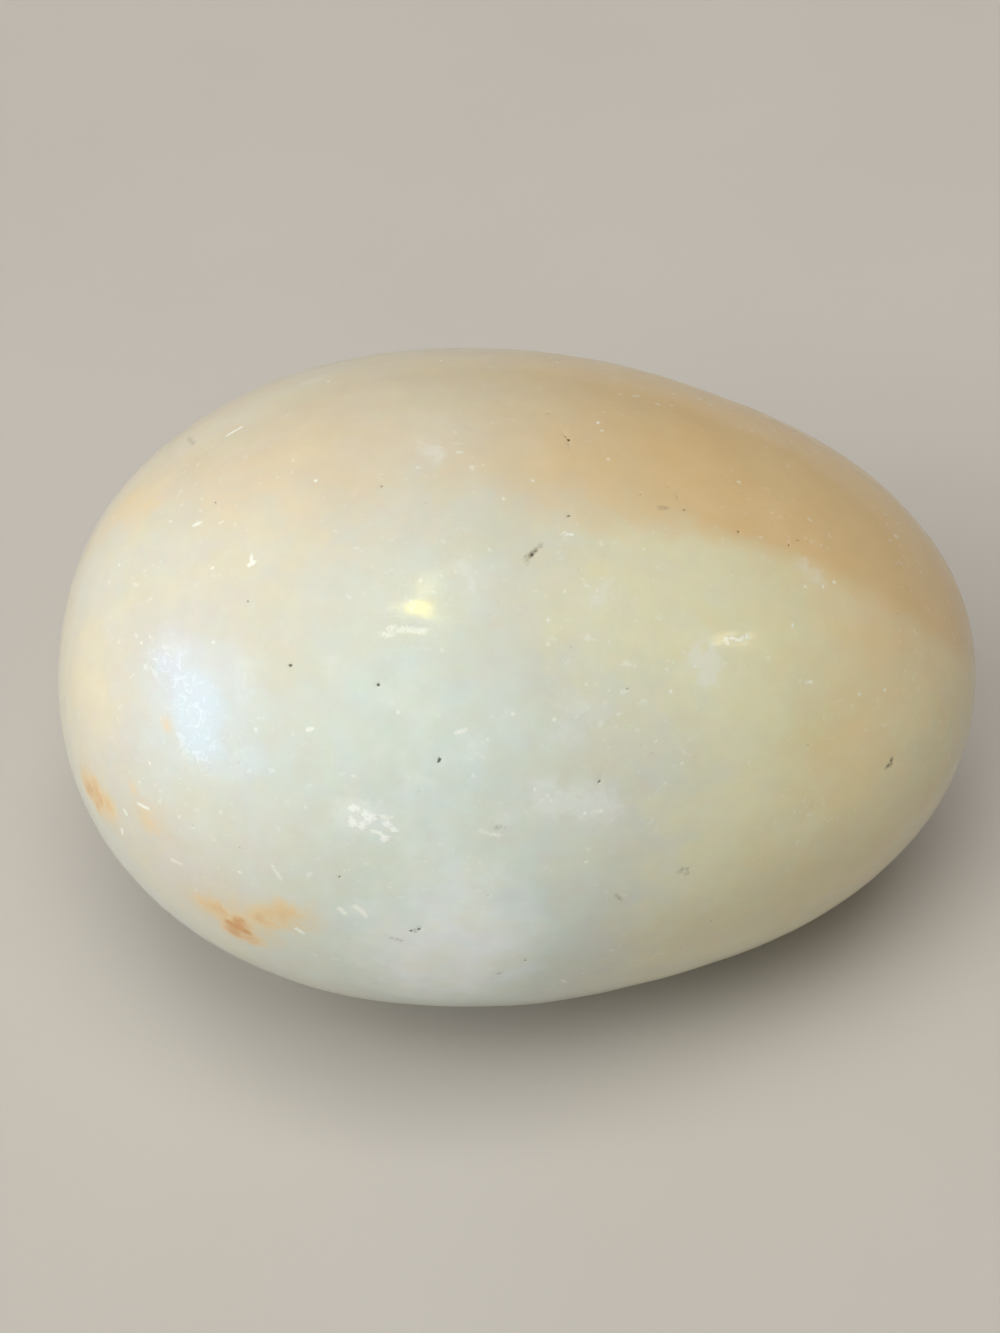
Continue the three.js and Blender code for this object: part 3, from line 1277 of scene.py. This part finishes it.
@dataclass
class Shell:
    """The whole egg as one fine mesh, with its marks as real pits and grains."""

    form: EggForm
    surveyor: Surveyor
    ball: CubeBall
    finish: ShellFinish
    stain_and_warm_light: TanStainAndWarmLight
    tones: IvoryAndLightTones
    seed: int = 11
    gather_reach: float = 1.5 * MM
    gather_most: float = 0.75
    widest_gathered: float = 2 * MM
    full_relief_at: float = 0.7

    def marks(self) -> list[Mark]:
        """Finds or strews every mark.

        Returns:
            The marks.
        """
        marks = [mark for group in SIGHTED for mark in group.found(self.surveyor)]
        draw = np.random.default_rng(self.seed)
        eye = np.array(self.surveyor.viewpoint.eye)
        for group in HIDDEN:
            marks += group.strewn(self.form, self.surveyor.pose, eye, draw)
        return marks

    def gathered(self, points: Array, marks: list[Mark]) -> Array:
        """Draws the mesh's points together round the small marks, so that those get more quads.

        Args:
            points: The shell's points in the CAD frame.
            marks: Every mark.

        Returns:
            The points' new places, still on the shell.
        """
        pull, weight = np.zeros_like(points), np.zeros(len(points))
        for mark in marks:
            if mark.width > self.widest_gathered:
                continue
            middle = (mark.start + mark.end) / 2
            reach = self.gather_reach + np.linalg.norm(mark.end - mark.start) / 2
            near = nearness(points, middle, reach)
            pull += near[:, None] * (middle - points)
            weight += near
        moved = points + self.gather_most * pull / np.maximum(1, weight)[:, None]
        return self.surveyor.onto_shell(moved)

    def lifted(self, points: Array, fields: dict[MarkKind, Array]) -> Array:
        """Works out how far the shell stands out of its smooth outline.

        Args:
            points: The shell's points in the CAD frame.
            fields: How far each point is inside each kind of mark.

        Returns:
            Metres outward at each point.
        """
        height = ShellUnevenness().heights(points)
        for swelling in SWELLINGS:
            place = self.surveyor.place(swelling.seen_at)
            height += swelling.height * nearness(points, place, swelling.reach)
        for kind, depth in fields.items():
            height += kind.relief * soft_step(depth, 0, self.full_relief_at)
        return height

    def build(self) -> bpy.types.Object:
        """Builds the egg, dresses it and puts it in the CAD egg's place.

        Returns:
            The egg.
        """
        pose = self.surveyor.pose
        marks = self.marks()
        points = self.gathered(pose.to_frame(self.form.onto(self.ball.directions)), marks)
        fields = {kind: np.full(len(points), kind.outside) for kind in MarkKind}
        for mark in marks:
            fields[mark.kind] = np.maximum(fields[mark.kind], mark.depth_inside(points))
        own = pose.to_own(points)
        normals = pose.turned(self.form.normals(own))
        points = points + normals * self.lifted(points, fields)[:, None]
        points[:, 2] = (points[:, 2] + np.hypot(points[:, 2], self.form.flat_rounding)) / 2
        mesh = bpy.data.meshes.new("ostrich_egg")
        mesh.from_pydata(points.tolist(), [], self.ball.quads.tolist())
        mesh.shade_smooth()
        layout = mesh.uv_layers.new(name="OFBake")
        layout.data.foreach_set("uv", self.ball.corner_map.ravel())
        for kind, depth in fields.items():
            self.write_field(mesh, kind.value, depth)
        self.write_field(mesh, self.stain_and_warm_light.attribute, self.stain_and_warm_light.depth_inside(own, self.surveyor))
        for name, values in self.tones.fields(points, self.surveyor).items():
            self.write_field(mesh, name, values)
        mesh.materials.append(self.finish.make(self.stain_and_warm_light, self.tones))
        egg = put_in_scene("ostrich_egg", mesh)
        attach(egg, EGG_BODY)
        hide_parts(EGG_NODE)
        log.info("egg: %d marks, %d points, %d quads", len(marks), len(points), len(self.ball.quads))
        return egg

    @staticmethod
    def write_field(mesh: bpy.types.Mesh, name: str, values: Array) -> None:
        """Writes one number for each point of a mesh as an attribute."""
        attribute = mesh.attributes.new(name, "FLOAT", "POINT")
        attribute.data.foreach_set("value", values.astype(np.float32))


@dataclass(frozen=True)
class SoftBox:
    """A large soft panel that lights the egg from one side without showing in its gloss."""

    name: str
    azimuth: float
    elevation: float
    power: float
    colour: Colour = (255, 252, 247)
    size: float = 3.6
    distance: float = 6.0

    def build(self, middle: Vector) -> bpy.types.Object:
        """Hangs the panel.

        Args:
            middle: What it points at.

        Returns:
            The light.
        """
        toward = heading(self.azimuth, self.elevation)
        turn = toward.to_track_quat("Z", "Y").to_matrix()
        panel = hung_light(self.name, middle + toward * self.distance, turn, (self.size, self.size))
        panel.data.energy = self.power
        panel.data.color = linear(self.colour)[:3]
        panel.visible_glossy = False
        return panel


@dataclass(frozen=True)
class Glint:
    """A panel that only shows as a reflection in the shell, at a sighted place and of a sighted size."""

    name: str
    seen_at: Sighting
    seen_size: Sighting
    brightness: float
    colour: Triple
    distance: float = 1.5

    def build(self, surveyor: Surveyor) -> bpy.types.Object:
        """Hangs the panel.

        Args:
            surveyor: What finds its place and its size.

        Returns:
            The light.
        """
        point, toward = surveyor.mirrored(self.seen_at)
        wide = self.span(surveyor, (self.seen_size[0] / 2, 0)) * self.distance
        high = self.span(surveyor, (0, -self.seen_size[1] / 2)) * self.distance
        side = (wide - toward * wide.dot(toward)).normalized()
        turn = Matrix((side, toward.cross(side), toward)).transposed()
        size = (wide.length, high.length)
        panel = hung_light(self.name, point + toward * self.distance, turn, size)
        panel.data.energy = self.brightness * size[0] * size[1]
        panel.data.color = self.colour
        panel.visible_diffuse = False
        return panel

    def span(self, surveyor: Surveyor, half: Sighting) -> Vector:
        """Measures how the way to the light turns across the reflection.

        Args:
            surveyor: What finds the way for a sighted place.
            half: Half the reflection's width or height, in pixels across and down.

        Returns:
            The change of the unit direction from one side to the other.
        """
        ends = [(self.seen_at[0] + sign * half[0], self.seen_at[1] + sign * half[1]) for sign in (-1, 1)]
        first, last = (surveyor.mirrored(end)[1] for end in ends)
        return last - first


def hung_light(name: str, place: Vector, turn: Matrix, size: tuple[float, float]) -> bpy.types.Object:
    """Hangs a panel light.

    Args:
        name: The light's name.
        place: Where it hangs.
        turn: Its rotation. Its back faces along its own Z.
        size: Its width and height.

    Returns:
        The light.
    """
    light = bpy.data.lights.new(name, "AREA")
    light.shape = "RECTANGLE"
    light.size, light.size_y = size
    panel = put_in_scene(name, light)
    panel.matrix_world = Matrix.Translation(place) @ turn.to_4x4()
    return panel


@dataclass(frozen=True)
class Studio:
    """The pale floor and the soft light round the egg."""

    floor_size: float = 60.0
    floor_gap: float = 0.05 * MM
    floor_finish: FloorFinish = FloorFinish()
    sky: Colour = (255, 250, 243)
    sky_strength: float = 0.1
    soft_boxes: tuple[SoftBox, ...] = (
        SoftBox("left_light", -79, 4, 202),
        SoftBox("front_light", -50, 47, 154),
        SoftBox("top_light", -10, 80, 221),
        SoftBox("back_light", 205, 14, 36, (255, 236, 208)),
    )
    glints: tuple[Glint, ...] = (
        Glint("window_1", (169, 666), (32, 20), 12.5, (0.06, 0.36, 0.95)),
        Glint("window_2", (190, 683), (38, 15), 11, (0.03, 0.36, 0.95)),
        Glint("window_3", (200, 698), (50, 18), 11, (0.03, 0.36, 0.95)),
        Glint("window_4", (198, 717), (56, 22), 11, (0.03, 0.36, 0.95)),
        Glint("window_5", (199, 733), (46, 10), 12, (0.03, 0.36, 0.95)),
        Glint("window_6", (198, 749), (48, 24), 12, (0.03, 0.36, 0.95)),
        Glint("window_glow", (196, 708), (100, 150), 7, (0.08, 0.32, 1.0)),
        Glint("lamp", (422, 608), (32, 18), 72, (1.0, 0.86, 0.0)),
        Glint("lamp_spark_high", (430, 588), (9, 5), 120, (1.0, 0.9, 0.3)),
        Glint("lamp_spark_low", (433, 622), (9, 5), 110, (1.0, 0.86, 0.2)),
        Glint("lamp_spark_left", (399, 607), (13, 3), 90, (1.0, 0.9, 0.3)),
        Glint("far_lamp", (733, 639), (20, 5), 60, (1.0, 0.85, 0.45)),
    )

    def build(self, surveyor: Surveyor) -> None:
        """Makes the floor, the lights and the world.

        Args:
            surveyor: What places the reflections.
        """
        half = self.floor_size / 2
        square = ((-half, -half), (half, -half), (half, half), (-half, half))
        mesh = bpy.data.meshes.new("studio_floor")
        mesh.from_pydata([(x, y, -self.floor_gap) for x, y in square], [], [(0, 1, 2, 3)])
        mesh.materials.append(self.floor_finish.make())
        floor = put_in_scene("studio_floor", mesh)
        for box in self.soft_boxes:
            box.build(Vector(surveyor.viewpoint.egg_middle))
        for glint in self.glints:
            glint.build(surveyor)
        world = bpy.data.worlds.new("studio")
        world.use_nodes = True
        background = world.node_tree.nodes["Background"]
        background.inputs["Color"].default_value = linear(self.sky)
        background.inputs["Strength"].default_value = self.sky_strength
        bpy.context.scene.world = world
        bpy.context.scene.view_settings.view_transform = "Standard"
        log.info("studio: floor and %d lights", len(self.soft_boxes) + len(self.glints))


def main() -> None:
    """Builds the egg, its viewpoint and the studio."""
    logging.basicConfig(level=logging.INFO, format="%(name)s: %(message)s")
    form = EggForm()
    ball = CubeBall(along=150, around=116)
    pose = RestPose(form, form.onto(ball.directions))
    viewpoint = Viewpoint()
    viewpoint.build()
    surveyor = Surveyor(form, pose, viewpoint)
    Shell(form, surveyor, ball, ShellFinish(), TanStainAndWarmLight(), IvoryAndLightTones()).build()
    Studio().build(surveyor)


if __name__ == "__main__":
    main()
